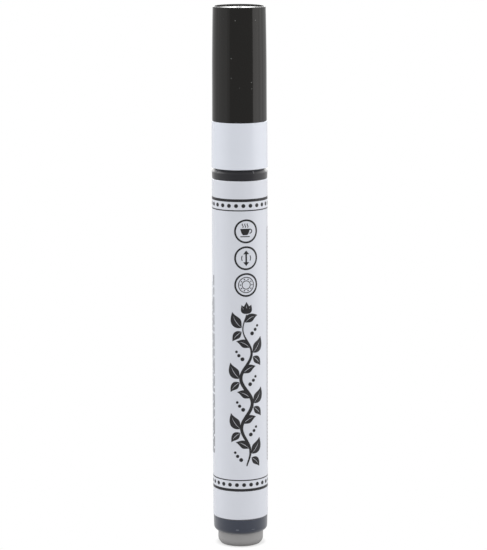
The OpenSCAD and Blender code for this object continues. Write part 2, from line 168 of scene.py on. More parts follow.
class Effects:
    """Shared surface effects, each a node group that is built once."""

    CLOUD_SCALE = 130.0
    CLOUD_DETAIL = 4.0
    PEEL_DETAIL = 2.0

    @staticmethod
    def _group(
        name: str, inputs: dict[str, Union[float, Colour, None]], outputs: dict[str, str]
    ) -> tuple[bpy.types.NodeTree, Sockets, Node, Node]:
        """Starts a node group.

        Args:
            name: The group's name.
            inputs: Socket name to its default: a number, a colour, or None for a vector.
            outputs: Socket name to its socket type.

        Returns:
            The group, its sockets helper, and its input and output nodes.
        """
        group = bpy.data.node_groups.new(name, "ShaderNodeTree")
        for label, default in inputs.items():
            colour = isinstance(default, tuple)
            kind = "NodeSocketVector" if default is None else "NodeSocketColor" if colour else "NodeSocketFloat"
            socket = group.interface.new_socket(label, in_out="INPUT", socket_type=kind)
            if default is not None:
                socket.default_value = (*default, 1) if colour else default
        for label, kind in outputs.items():
            group.interface.new_socket(label, in_out="OUTPUT", socket_type=kind)
        sockets = Sockets(group)
        return group, sockets, sockets.add("NodeGroupInput"), sockets.add("NodeGroupOutput")

    @classmethod
    @cache
    def moulded(cls) -> bpy.types.NodeTree:
        """Moulded plastic: cloudy tone, uneven gloss and a faint orange-peel skin."""
        group, sockets, given, result = cls._group(
            "moulded_skin",
            {
                "Vector": None, "Color": (0.5, 0.5, 0.5), "Tone": 0.04, "Roughness": 0.3, "Unevenness": 0.06,
                "Peel Scale": 2600.0,
            },
            {"Color": "NodeSocketColor", "Roughness": "NodeSocketFloat", "Height": "NodeSocketFloat"},
        )
        place, colour, tone, rough, unevenness, peel_scale = given.outputs[:6]
        drift = sockets.math("SUBTRACT", sockets.noise(place, cls.CLOUD_SCALE, cls.CLOUD_DETAIL), 0.5)
        level = sockets.math("ADD", sockets.math("MULTIPLY", drift, tone), 1.0)
        shade = sockets.add("ShaderNodeCombineColor", {"Red": level, "Green": level, "Blue": level})
        uneven = sockets.math("MULTIPLY", drift, unevenness)
        sockets.feed(result, {
            "Color": sockets.mix(1.0, colour, shade.outputs["Color"], "MULTIPLY"),
            "Roughness": sockets.math("ADD", uneven, rough),
            "Height": sockets.noise(place, peel_scale, cls.PEEL_DETAIL),
        })
        return group

    @classmethod
    @cache
    def specks(cls) -> bpy.types.NodeTree:
        """Sparse dust specks and pin-prick scuffs."""
        inputs = {"Vector": None, "Scale": 1000.0, "Size": 0.22, "Share": 0.05}
        group, sockets, given, result = cls._group("dust_specks", inputs, {"Mask": "NodeSocketFloat"})
        place, scale, size, share = given.outputs[:4]
        cells = sockets.add("ShaderNodeTexVoronoi", {"Vector": place, "Scale": scale}, feature="F1")
        dot = sockets.map_range(cells.outputs["Distance"], 0.0, size, 1.0, 0.0)
        parts = sockets.add("ShaderNodeSeparateColor", {"Color": cells.outputs["Color"]})
        chosen = sockets.math("LESS_THAN", parts.outputs["Red"], share)
        sockets.feed(result, {"Mask": sockets.math("MULTIPLY", dot, chosen)})
        return group


@dataclass(frozen=True)
class Finish:
    """What every finish has: the name of its material and a base colour in linear light."""

    name: str
    colour: Colour

    def material(self) -> Material:
        """Builds the material."""
        made = bpy.data.materials.new(self.name)
        sockets = Sockets.fresh(made)
        shader = sockets.add("ShaderNodeBsdfPrincipled", self.surface(sockets))
        sockets.add("ShaderNodeOutputMaterial", {"Surface": shader.outputs["BSDF"]})
        return made

    def surface(self, sockets: Sockets) -> Feeds:
        """Gives what goes into the shader's inputs."""
        raise NotImplementedError

    def darker(self, share: float) -> Colour:
        """The base colour with each channel brought down to a share."""
        return tuple(channel * share for channel in self.colour)


@dataclass(frozen=True)
class Plastic(Finish):
    """A moulded plastic finish.

    Attributes:
        roughness: Middle roughness.
        unevenness: How much the roughness drifts.
        tone: How much the colour drifts.
        peel_scale: Grain of the skin, per metre.
        peel_height: Depth of the skin's grain, in metres.
        specular: Specular level.
        dust: How strongly specks show.
        translucency: Share of light that scatters inside.
        sheen: Weight of the haze that shows at a slant.
    """

    DUST_PALER = 0.5
    SCATTER = (0.0012, 0.0011, 0.0009)

    roughness: float = 0.3
    unevenness: float = 0.06
    tone: float = 0.05
    peel_scale: float = 2600.0
    peel_height: float = 0.000004
    specular: float = 0.5
    dust: float = 0.0
    translucency: float = 0.0
    sheen: float = 0.0

    def surface(self, sockets: Sockets) -> Feeds:
        """Gives the moulded skin, with dust and scattering where they are asked for."""
        place = sockets.place()
        skin = sockets.add(
            "ShaderNodeGroup",
            {
                "Vector": place, "Color": self.colour, "Tone": self.tone, "Roughness": self.roughness,
                "Unevenness": self.unevenness, "Peel Scale": self.peel_scale,
            },
            node_tree=Effects.moulded(),
        )
        colour, rough, height = (skin.outputs[name] for name in ("Color", "Roughness", "Height"))
        if self.dust:
            specks = sockets.add("ShaderNodeGroup", {"Vector": place}, node_tree=Effects.specks())
            amount = sockets.math("MULTIPLY", specks.outputs["Mask"], self.dust)
            paler = tuple(channel + (1 - channel) * self.DUST_PALER for channel in self.colour)
            colour = sockets.mix(amount, colour, paler)
            rough = sockets.math("ADD", rough, amount)
        feeds = {
            "Base Color": colour, "Roughness": rough, "Normal": sockets.bump(height, self.peel_height),
            "Specular IOR Level": self.specular, "Sheen Weight": self.sheen,
        }
        if self.translucency:
            feeds |= {
                "Subsurface Weight": self.translucency, "Subsurface Radius": self.SCATTER, "Subsurface Scale": 1.0,
            }
        return feeds


@dataclass(frozen=True)
class Steel(Finish):
    """A drawn or ground steel finish.

    Attributes:
        roughness: Middle roughness.
        stretch: How far the grind marks are drawn out along the axis.
    """

    GRAIN = 4000.0
    DETAIL = 5.0
    DARK = 0.86
    MARKS = (0.3, 0.7)
    SMOOTHER = 0.08
    ROUGHER = 0.1

    colour: Colour = (0.62, 0.63, 0.65)
    roughness: float = 0.22
    stretch: float = 0.15

    def surface(self, sockets: Sockets) -> Feeds:
        """Gives metal with grind marks in its colour and roughness."""
        marks = sockets.noise(sockets.drawn_place(self.stretch), self.GRAIN, self.DETAIL)
        ends = self.roughness - self.SMOOTHER, self.roughness + self.ROUGHER
        return {
            "Base Color": sockets.mix(marks, self.darker(self.DARK), self.colour),
            "Roughness": sockets.map_range(marks, *self.MARKS, *ends),
            "Metallic": 1.0,
        }


@dataclass(frozen=True)
class PointFibre(Finish):
    """The porous nib: pale fibres along the axis, darker with paint at the tip.

    Attributes:
        wet: Colour of the paint-soaked end.
        tip_height: Height of the nib's end, in metres.
        wet_length: Length of the soaked end, in metres.
    """

    GRAIN = 9000.0
    DETAIL = 4.0
    STRETCH = 0.08
    DARK = 0.7
    DRY_ROUGHNESS = 0.75
    WET_ROUGHNESS = 0.4
    FIBRE_HEIGHT = 0.00002

    wet: Colour
    tip_height: float
    wet_length: float = 0.0016

    def surface(self, sockets: Sockets) -> Feeds:
        """Gives the fibres, soaked towards the tip."""
        fibres = sockets.noise(sockets.drawn_place(self.STRETCH), self.GRAIN, self.DETAIL)
        height = sockets.part(sockets.place(), "Z")
        soak = sockets.map_range(height, self.tip_height - self.wet_length, self.tip_height, 0.0, 1.0)
        dry = sockets.mix(fibres, self.darker(self.DARK), self.colour)
        return {
            "Base Color": sockets.mix(soak, dry, self.wet),
            "Roughness": sockets.map_range(soak, 0.0, 1.0, self.DRY_ROUGHNESS, self.WET_ROUGHNESS),
            "Normal": sockets.bump(fibres, self.FIBRE_HEIGHT),
        }


def made(primitive: Callable[..., set[str]], **values: object) -> Mesh:
    """Adds a primitive mesh, selected on its own, and applies its place."""
    bpy.ops.object.select_all(action="DESELECT")
    primitive(**values)
    bpy.ops.object.transform_apply(location=True, rotation=False, scale=False)
    return bpy.context.object


def joined(pieces: Sequence[Mesh]) -> Mesh:
    """Joins pieces into the first one, which stays selected and active."""
    bpy.ops.object.select_all(action="DESELECT")
    for piece in pieces:
        piece.select_set(True)
    bpy.context.view_layer.objects.active = pieces[0]
    bpy.ops.object.join()
    return pieces[0]


@contextmanager
def editing() -> Iterator[None]:
    """Edit mode on the active piece, with all of it selected."""
    bpy.ops.object.mode_set(mode="EDIT")
    bpy.ops.mesh.select_all(action="SELECT")
    yield
    bpy.ops.object.mode_set(mode="OBJECT")


def bevel(width: float) -> None:
    """Bevels all edges of the active piece."""
    with editing():
        bpy.ops.mesh.bevel(offset=width, segments=BEVEL_STEPS, affect="EDGES")


def smooth() -> None:
    """Shades the selected piece smooth, apart from its sharp edges."""
    bpy.ops.object.shade_smooth_by_angle(angle=SMOOTH_ANGLE)


def dress(finish: Finish, *nodes: str) -> Material:
    """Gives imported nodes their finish, and hands back its material."""
    material = finish.material()
    for node in nodes:
        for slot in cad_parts[node].material_slots:
            slot.material = material
        LOG.info("dressed %s with %s", node, material.name)
    return material


def seat(piece: Mesh, name: str, body: Body, material: Material) -> None:
    """Names a finished piece, gives it its finish and lets it ride on a body.

    Args:
        piece: The finished mesh.
        name: Its name.
        body: The body that it rides on.
        material: Its material.
    """
    piece.name = name
    piece.data.name = name
    piece.data.materials.append(material)
    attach(piece, body.value)
    LOG.info("made %s: %d faces, rides on %s", name, len(piece.data.polygons), body.value)


@dataclass
class FlatPrint:
    """Print that is drawn flat, in millimetres along and up the barrel, and then wrapped round it.

    Attributes:
        radius: Barrel radius in metres.
        film: Thickness of the ink, in metres.
        sunk: How far the ink reaches into the barrel, in metres.
        strip: Width of the strips that the flat shapes are cut into.
        shapes: The flat shapes drawn so far.
    """

    CLOSING_GAP = 0.0001
    DOT_SIDES = 28

    radius: float
    film: float = 0.018 * MM
    sunk: float = 0.004 * MM
    strip: float = 0.4
    shapes: list[Mesh] = field(default_factory=list)

    def ribbon(self, path: Sequence[Point], right: Profile, left: Profile) -> None:
        """Draws a ribbon along a path.

        Args:
            path: Points along the ribbon.
            right: Place of its right edge, to the left of the path, for a share from 0 to 1 of the way along.
            left: Place of its left edge, measured in the same way.
        """
        last = len(path) - 1
        closed = math.dist(path[0], path[last]) < self.CLOSING_GAP

        def beside(index: int) -> Vector:
            """The path's point at an index, which may lie one past an end."""
            return Vector(path[index % last if closed else min(max(index, 0), last)])

        shape = made(bpy.ops.mesh.primitive_grid_add, x_subdivisions=last, y_subdivisions=1, size=1)
        for vertex in shape.data.vertices:
            index = round((vertex.co.x + 0.5) * last)
            edge = left if vertex.co.y > 0 else right
            along = (beside(index + 1) - beside(index - 1)).normalized()
            offset = edge(index / last)
            middle = path[index]
            vertex.co = (middle[0] - along.y * offset, middle[1] + along.x * offset, 0)
        self.shapes.append(shape)

    def stroke(self, path: Sequence[Point], width: Profile) -> None:
        """Draws a brush stroke of changing width along a path."""
        self.ribbon(path, lambda share: -width(share) / 2, lambda share: width(share) / 2)

    def line(self, start: Point, end: Point, width: float, steps: int = 1) -> None:
        """Draws a straight line of even width."""
        path = [tuple(a + (b - a) * i / steps for a, b in zip(start, end)) for i in range(steps + 1)]
        self.stroke(path, lambda share: width)

    def arc(
        self, centre: Point, radius: float, width: float, start: float = 0.0, sweep: float = 360.0, steps: int = 48
    ) -> None:
        """Draws an arc or a ring of even width, with its angles in degrees."""
        angles = [math.radians(start + sweep * i / steps) for i in range(steps + 1)]
        path = [(centre[0] + radius * math.cos(a), centre[1] + radius * math.sin(a)) for a in angles]
        self.stroke(path, lambda share: width)

    def dot(self, centre: Point, radius: float) -> None:
        """Draws a round dot."""
        circle = bpy.ops.mesh.primitive_circle_add
        place = (*centre, 0)
        self.shapes.append(made(circle, vertices=self.DOT_SIDES, radius=radius, fill_type="NGON", location=place))

    def wrapped(self) -> Mesh:
        """Joins the flat shapes, wraps them round the barrel as a thin film and gives the finished print."""
        art = joined(self.shapes)
        self._cut_into_strips(art)
        ground = self.radius - self.sunk
        for vertex in art.data.vertices:
            turn = vertex.co.x * MM / self.radius
            vertex.co = (ground * math.sin(turn), -ground * math.cos(turn), vertex.co.y * MM)
        with editing():
            bpy.ops.mesh.remove_doubles(threshold=MERGE_GAP)
        skin = art.modifiers.new("film", "SOLIDIFY")
        skin.thickness = self.film + self.sunk
        skin.offset = 1
        bpy.ops.object.modifier_apply(modifier=skin.name)
        smooth()
        return art

    def _cut_into_strips(self, art: Mesh) -> None:
        """Cuts the joined flat shapes into upright strips that can follow the barrel."""
        across = [vertex.co.x for vertex in art.data.vertices]
        first = math.floor(min(across) / self.strip)
        last = math.ceil(max(across) / self.strip)
        with editing():
            for index in range(first, last + 1):
                bpy.ops.mesh.select_all(action="SELECT")
                bpy.ops.mesh.bisect(plane_co=(index * self.strip, 0, 0), plane_no=(1, 0, 0))


class Motif(Protocol):
    """A motif of the print, in millimetres along the barrel's round from the front and up from the foot."""

    NAME: str

    def draw(self, flat: FlatPrint) -> None:
        """Draws it."""


class Leaf(NamedTuple):
    """A leaf's length and greatest width, and its lean at the root and its curl towards the tip, in degrees."""

    length: float
    width: float
    lean: float
    curl: float


@dataclass(frozen=True)
class Scroll:
    """A leaf scroll: a swaying stem with leaves, berries and a bud.

    Attributes:
        middle: Middle of the scroll.
        low: Lower end of the stem.
        high: Upper end of the stem.
        sway: How far the stem swings to each side.
        waves: Number of full waves.
        stem: Width of the stem at its ends, and what it gains in the middle.
        leaf_root: Distance of a leaf's root from the middle of the stem.
        outer_leaf: Leaf outside a bend.
        lower_leaf: Leaf below it.
        inner_leaf: Leaf inside a bend.
        bud_leaves: Leaves of the bud.
        berries: Distance from the stem, rise and radius of a bend's berries.
        blunt: Half of a leaf's width at its ends.
        vein: Half of a bare vein's width at its ends, and what it gains in the middle.
    """

    NAME = "print_scroll"
    STEM_STEPS = 150
    STEM_TAPER, STEM_FULLNESS, SWAY_FADE = 1.15, 0.7, 0.35
    LEAF_STEPS = 14
    LEAF_BELLY, LEAF_POINT, VEIN_TAPER = 0.8, 1.2, 1.25
    LOWER_DROP, INNER_LEAD, BUD_RISE = 1.1, 0.2, 0.25

    middle: float = 1.65
    low: float = 21.5
    high: float = 60.6
    sway: float = 1.5
    waves: float = 3.0
    stem: Point = (0.3, 0.6)
    leaf_root: float = 0.32
    outer_leaf: Leaf = Leaf(4.7, 2.5, 38, 45)
    lower_leaf: Leaf = Leaf(3.4, 1.8, -28, -40)
    inner_leaf: Leaf = Leaf(3.8, 2.0, -50, 50)
    bud_leaves: tuple[Leaf, ...] = (Leaf(2.544, 1.5, -38, 19), Leaf(3.0, 1.5, 0, 0), Leaf(2.544, 1.5, 38, -19))
    berries: tuple[Place, ...] = ((2.4, -1.6, 0.5), (3.3, -0.65, 0.42), (3.9, 0.3, 0.34))
    blunt: float = 0.05
    vein: Point = (0.004, 0.051)

    def draw(self, flat: FlatPrint) -> None:
        """Draws the scroll."""
        ends, gain = self.stem
        flat.stroke(
            [self._stem(i / self.STEM_STEPS) for i in range(self.STEM_STEPS + 1)],
            lambda share: ends + gain * math.sin(math.pi * min(share * self.STEM_TAPER, 1)) ** self.STEM_FULLNESS,
        )
        bends = round(2 * self.waves)
        for i in range(bends):
            share = (i + 0.5) / bends
            side = 1 if i % 2 == 0 else -1
            x, y = self._stem(share)
            outwards = 90 - side * 90
            out = x + side * self.leaf_root
            self._leaf(flat, (out, y), outwards, side, self.outer_leaf)
            self._leaf(flat, (out, y - self.LOWER_DROP), outwards, side, self.lower_leaf)
            across, up = self._stem(share + self.INNER_LEAD / bends)
            self._leaf(flat, (across - side * self.leaf_root, up), 180 - outwards, side, self.inner_leaf)
            for reach, rise, radius in self.berries:
                flat.dot((x - side * reach, y + rise), radius)
        x, y = self._stem(1.0)
        for leaf in self.bud_leaves:
            self._leaf(flat, (x, y + self.BUD_RISE), 90, 1, leaf)

    def _stem(self, share: float) -> Point:
        """Point on the stem at a share of its length."""
        wave = math.sin(2 * math.pi * self.waves * share)
        fade = math.sin(math.pi * share) ** self.SWAY_FADE
        return self.middle + self.sway * wave * fade, self.low + (self.high - self.low) * share

    def _leaf(self, flat: FlatPrint, root: Point, heading: float, side: int, leaf: Leaf) -> None:
        """Draws a curved leaf that is pointed at both ends.

        Args:
            flat: The flat print.
            root: Where the leaf starts.
            heading: The direction that it leans from, in degrees from the barrel's round.
            side: 1 for the leaf as it is, -1 for its mirror image.
            leaf: The leaf.
        """
        step = leaf.length / self.LEAF_STEPS
        path = [root]
        for i in range(self.LEAF_STEPS):
            angle = math.radians(heading + side * leaf.lean + side * leaf.curl * i / self.LEAF_STEPS)
            path.append((path[-1][0] + step * math.cos(angle), path[-1][1] + step * math.sin(angle)))

        def half(share: float) -> float:
            """Half of the leaf's width."""
            return self.blunt + leaf.width / 2 * math.sin(math.pi * share ** self.LEAF_BELLY) ** self.LEAF_POINT

        def vein(share: float) -> float:
            """Half of the bare vein's width."""
            return self.vein[0] + self.vein[1] * math.sin(math.pi * min(self.VEIN_TAPER * share, 1))

        flat.ribbon(path, lambda share: -half(share), lambda share: -vein(share))
        flat.ribbon(path, vein, half)


@dataclass(frozen=True)
class Signs:
    """Three ringed signs: a plate, an arrow and a cup, from the bottom up, drawn round each sign's middle.

    Attributes:
        middle: Middle of the column of signs.
        heights: Heights of the three signs.
        radius: Radius of a ring.
        ring_line: Line width of a ring.
    """

    NAME = "print_signs"

    middle: float = 1.6
    heights: tuple[float, float, float] = (68.2, 75.0, 81.8)
    radius: float = 2.8
    ring_line: float = 0.46

    def draw(self, flat: FlatPrint) -> None:
        """Draws the signs."""
        places = [(self.middle, height) for height in self.heights]
        for place in places:
            flat.arc(place, self.radius, self.ring_line, steps=72)
        plate, arrow, cup = places
        self._cup(flat, *cup)
        self._plate(flat, *plate)
        self._arrow(flat, *arrow)

    def _cup(self, flat: FlatPrint, x: float, y: float) -> None:
        """Draws a steaming cup with a handle over a saucer, seen from the side."""
        steps = 12
        bowl = [(x - 0.25, y - 0.95 + 1.6 * i / steps) for i in range(steps + 1)]
        flat.stroke(bowl, lambda share: 0.9 + 1.6 * math.sqrt(max(share, 0.0)))
        flat.arc((x + 0.98, y + 0.02), 0.5, 0.24, start=-105, sweep=210, steps=20)
        flat.line((x - 1.45, y - 1.33), (x + 0.95, y - 1.33), 0.24, 6)
        for i in (-1, 0, 1):
            steam = x - 0.25 + 0.62 * i
            wave = [(steam + 0.13 * math.sin(math.pi * j / 5), y + 0.95 + 0.1 * j) for j in range(11)]
            flat.stroke(wave, lambda share: 0.2)

    def _plate(self, flat: FlatPrint, x: float, y: float) -> None:
        """Draws a plate with a dotted rim, seen from above."""
        dots = 10
        for radius in (1.95, 1.05):
            flat.arc((x, y), radius, 0.2)
        for i in range(dots):
            angle = 2 * math.pi * i / dots
            flat.dot((x + 1.5 * math.cos(angle), y + 1.5 * math.sin(angle)), 0.17)

    def _arrow(self, flat: FlatPrint, x: float, y: float) -> None:
        """Draws an upright arrow with a head at both ends and a curved stroke at each side."""
        flat.line((x, y - 1.04), (x, y + 1.04), 0.42)
        for end in (-1, 1):
            head = [(x, y + end * (1.0 + 0.095 * i)) for i in range(11)]
            flat.stroke(head, lambda share: 1.5 * (1 - share) + 0.03)
            flat.arc((x - end * 0.2, y), 1.35, 0.22, start=90 - end * 90 - 28, sweep=56, steps=14)


@dataclass(frozen=True)
class Borders:
    """A dotted border between two rules, all the way round, at both ends of the barrel.

    Attributes:
        heights: Heights of the lower and the upper border.
        rules: Distance of each rule outwards from the dots, and its line width.
        dots: Number of dots in a border.
        dot_radius: Radius of a dot.
    """

    NAME = "print_borders"
    RULE_STEPS = 120

    heights: Point = (16.6, 88.2)
    rules: tuple[Point, Point] = ((1.35, 0.7), (-1.2, 0.28))
    dots: int = 24
    dot_radius: float = 0.5

    def draw(self, flat: FlatPrint) -> None:
        """Draws the borders."""
        half_round = math.pi * flat.radius / MM
        for outward, height in zip((-1, 1), self.heights):
            for offset, width in self.rules:
                level = height + offset * outward
                path = [(half_round * (2 * i / self.RULE_STEPS - 1), level) for i in range(self.RULE_STEPS + 1)]
                flat.stroke(path, lambda share: width)
            for i in range(self.dots):
                flat.dot((half_round * (2 * (i + 0.5) / self.dots - 1), height), self.dot_radius)


@dataclass(frozen=True)
class TickScale:
    """A tick scale up the side, a tick to the millimetre, with every fifth and every tenth tick longer.

    Attributes:
        across: Where the scale stands.
        low: Its lower end.
        high: Its upper end.
        lengths: Lengths of a tick, a fifth tick and a tenth tick.
        lines: Line widths of a tick and of the scale's edge.
    """

    NAME = "print_scale"

    across: float = 9.4
    low: float = 22.0
    high: float = 82.0
    lengths: tuple[float, float, float] = (1.0, 1.7, 2.4)
    lines: Point = (0.2, 0.22)

    def draw(self, flat: FlatPrint) -> None:
        """Draws the scale."""
        tick_line, edge_line = self.lines
        for i in range(round(self.high - self.low) + 1):
            height = self.low + i
            length = self.lengths[2 if i % 10 == 0 else 1 if i % 5 == 0 else 0]
            flat.line((self.across, height), (self.across + length, height), tick_line, 6)
        flat.line((self.across, self.low), (self.across, self.high), edge_line)


@dataclass(frozen=True)
class Rules:
    """Fine broken rules that run up the left side and the back.

    Attributes:
        columns: Place, lower end and upper end of each rule, first on the left side and then on the back.
        dashes: Lengths of the dashes.
        line: Line width.
        gap: Gap between two dashes.
    """

    NAME = "print_rules"
    DASH_STEP, COLUMN_STEP = 7, 3

    columns: tuple[Place, ...] = (
        (-8.6, 24.0, 70.0), (-9.7, 24.0, 64.0), (-10.8, 24.0, 68.0), (-11.9, 24.0, 52.0), (17.0, 22.0, 76.0),
        (18.1, 22.0, 71.0), (19.2, 22.0, 66.0), (20.3, 22.0, 76.0), (21.4, 22.0, 71.0), (22.5, 22.0, 66.0),
    )
    dashes: tuple[float, ...] = (1.1, 1.85, 2.6, 3.35, 4.1)
    line: float = 0.36
    gap: float = 0.55

    def draw(self, flat: FlatPrint) -> None:
        """Draws the rules, each with the dashes in an order of its own."""
        for column, (across, low, high) in enumerate(self.columns):
            height = low
            index = 0
            while height < high:
                length = self.dashes[(index * self.DASH_STEP + column * self.COLUMN_STEP) % len(self.dashes)]
                flat.line((across, height), (across, min(height + length, high)), self.line)
                height += length + self.gap
                index += 1


@dataclass(frozen=True)
class Swatches:
    """A row of wavy sample strokes on the back, from fine to bold.

    Attributes:
        widths: Widths of the strokes.
        first: Where the first stroke stands.
        apart: Distance from one stroke to the next.
        low: Lower end of the strokes.
        rise: Rise of a segment.
        wave: How far a stroke swings to each side.
    """

    NAME = "print_swatches"
    STEPS = 40
    WAVE_STEPS = 20
    TIP, TAPER = 0.15, 8

    widths: tuple[float, ...] = (0.25, 0.4, 0.6, 0.85, 1.15)
    first: float = -20.5
    apart: float = 1.75
    low: float = 26.0
    rise: float = 1.2
    wave: float = 0.35

    def draw(self, flat: FlatPrint) -> None:
        """Draws the strokes, with tapered ends."""
        for i, width in enumerate(self.widths):
            across = self.first + self.apart * i
            path = [
                (across + self.wave * math.sin(2 * math.pi * j / self.WAVE_STEPS), self.low + self.rise * j)
                for j in range(self.STEPS + 1)
            ]
            flat.stroke(path, lambda share: width * min(1.0, self.TIP + self.TAPER * min(share, 1 - share)))


@dataclass
class BarrelPrint:
    """The barrel's print: its motifs, as thin films of ink."""

    ink: Plastic = Plastic(
        "print_ink", srgb(26, 25, 29), roughness=0.32, unevenness=0.08, tone=0.12, peel_scale=5200,
        peel_height=0.000003,
    )
    motifs: tuple[Motif, ...] = (Scroll(), Signs(), Borders(), TickScale(), Rules(), Swatches())

    def build(self) -> None:
        """Makes every print piece."""
        low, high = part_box("barrel")
        radius = (high.x - low.x) / 2
        ink = self.ink.material()
        for motif in self.motifs:
            flat = FlatPrint(radius)
            motif.draw(flat)
            seat(flat.wrapped(), motif.NAME, Body.BARREL, ink)


class Stubs(NamedTuple):
    """Two gate stubs on opposite sides: place of the first, in degrees from the front, their width and height."""

    turn: float
    width: float
    height: float


@dataclass
class MouldMarks:
    """Small moulding marks: gate stubs on the two rings, pale to paint glints, and a sprue mark on the cap's top.

    Attributes:
        stub_depth: How far a stub stands out of its ring.
        sprue_radius: Radius of the sprue mark.
        sprue_height: Height of the sprue mark, half of it sunk.
        dish_depth: Depth of the cap's dished top.
        chamfer_rise: Height of the middle of the collar's chamfer above the barrel.
        chamfer_inset: How far that middle lies inside the collar's side.
        chamfer_lean: How far the chamfer faces upwards, in degrees.
        ring_rise: Height of the tail ring's stubs above its lower end.
        collar_stubs: The collar's stubs.
        ring_stubs: The tail ring's stubs.
        collar_stub_painted_glint: Finish of the collar's cut-off stubs, paler than the collar to paint glints on it.
        ring_stub_painted_glint: Finish of the tail ring's stubs, paler than the ring to paint glints on it.
    """

    BEVEL_SHARE = 0.7
    SPRUE_SIDES = 48
    SPRUE_BEVEL = 0.03 * MM

    stub_depth: float = 0.06 * MM
    sprue_radius: float = 0.8 * MM
    sprue_height: float = 0.08 * MM
    dish_depth: float = 0.32 * MM
    chamfer_rise: float = 2.125 * MM
    chamfer_inset: float = 0.3 * MM
    chamfer_lean: float = 38.7
    ring_rise: float = 1.4 * MM
    collar_stubs: tuple[Stubs, ...] = (Stubs(-58.7, 0.6 * MM, 0.45 * MM), Stubs(30.5, 0.3 * MM, 0.75 * MM))
    ring_stubs: tuple[Stubs, ...] = (Stubs(-6.9, 0.75 * MM, 0.3 * MM), Stubs(27.5, 0.9 * MM, 0.15 * MM))
    # The stubs are real, but their pale finishes are painted glints on the collar and the tail ring.
    collar_stub_painted_glint: Plastic = Plastic("collar_stub_painted_glint", srgb(92, 92, 95), roughness=0.6, tone=0.3)
    ring_stub_painted_glint: Plastic = Plastic("ring_stub_painted_glint", srgb(100, 105, 116), roughness=0.6, tone=0.3)

    def build(self, crown: Material) -> None:
        """Makes the marks, with the crown's finish on the sprue mark."""
        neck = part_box("barrel")[1].z
        chamfer_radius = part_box("front_section")[1].x - self.chamfer_inset
        collar = self._ring(chamfer_radius, neck + self.chamfer_rise, self.chamfer_lean, self.collar_stubs)
        # Pale stubs on the collar: painted glints.
        seat(collar, "collar_gate_stubs_painted_glint", Body.BARREL, self.collar_stub_painted_glint.material())
        ring_low, ring_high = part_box("tail_ring")
        ring = self._ring(ring_high.x, ring_low.z + self.ring_rise, 0.0, self.ring_stubs)
        # Pale stubs on the tail ring: painted glints.
        seat(ring, "tail_gate_stubs_painted_glint", Body.BARREL, self.ring_stub_painted_glint.material())
        seat(self._sprue(), "cap_sprue_mark", Body.CAP, crown)

    def _ring(self, radius: float, height: float, lean: float, pairs: Sequence[Stubs]) -> Mesh:
        """Models a ring of gate stubs.

        Args:
            radius: Radius of the wall that they stand on.
            height: Their middle height.
            lean: How far the wall faces upwards, in degrees.
            pairs: The stubs.

        Returns:
            The joined stubs.
        """
        stubs = []
        for half, pair in product((0, 180), pairs):
            stub = made(bpy.ops.mesh.primitive_cube_add, size=1)
            stub.scale = (pair.width, self.stub_depth * 2, pair.height)
            bpy.ops.object.transform_apply(location=False, rotation=False, scale=True)
            bevel(self.stub_depth * self.BEVEL_SHARE)
            turn = Matrix.Rotation(math.radians(half + pair.turn), 4, "Z")
            place = turn @ Matrix.Translation((0, -radius, height))
            stub.data.transform(place @ Matrix.Rotation(math.radians(-lean), 4, "X"))
            stubs.append(stub)
        ring = joined(stubs)
        smooth()
        return ring

    def _sprue(self) -> Mesh:
        """Models the shallow sprue mark in the middle of the cap's dished top."""
        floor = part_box("cap_crown")[1].z - self.dish_depth
        mark = made(
            bpy.ops.mesh.primitive_cylinder_add, vertices=self.SPRUE_SIDES, radius=self.sprue_radius,
            depth=self.sprue_height, location=(0, 0, floor),
        )
        bevel(self.SPRUE_BEVEL)
        smooth()
        return mark


@dataclass
class Cap:
    """The pull-off cap, with a finish for each of its pieces."""

    crown: Plastic = Plastic(
        "crown_black", srgb(17, 15, 12), roughness=0.1, unevenness=0.05, tone=0.2, peel_scale=1500,
        peel_height=0.0000015, dust=0.35,
    )
    skirt: Plastic = Plastic(
        "skirt_white", srgb(222, 226, 235), roughness=0.22, unevenness=0.012, tone=0.03, peel_height=0.000002
    )
    seal: Plastic = Plastic("seal_natural", srgb(228, 226, 218), roughness=0.42, tone=0.06, translucency=0.15)

    def build(self) -> Material:
        """Dresses the cap's nodes and gives the crown's material."""
        crown = dress(self.crown, "cap_crown")
        dress(self.skirt, "cap_skirt")
        dress(self.seal, "cap_seal")
        return crown


@dataclass
class Barrel:
    """The paint barrel with its tail and the loose ball inside, with a finish for each piece."""

    shell: Plastic = Plastic(
        "barrel_white", srgb(216, 219, 227), roughness=0.26, unevenness=0.012, tone=0.03, peel_height=0.000002
    )
    ring: Plastic = Plastic("tail_slate", srgb(45, 51, 66), roughness=0.4, tone=0.12, unevenness=0.1, sheen=0.5)
    plug: Plastic = Plastic("plug_grey", srgb(152, 151, 151), roughness=0.45, tone=0.08, unevenness=0.1)
    ball: Steel = Steel("ball_steel", roughness=0.14)

    def build(self) -> None:
        """Dresses the barrel's nodes and prints the barrel."""
        dress(self.shell, "barrel")
        dress(self.ring, "tail_ring")
        dress(self.plug, "tail_plug")
        dress(self.ball, "mixing_ball")
        BarrelPrint().build()


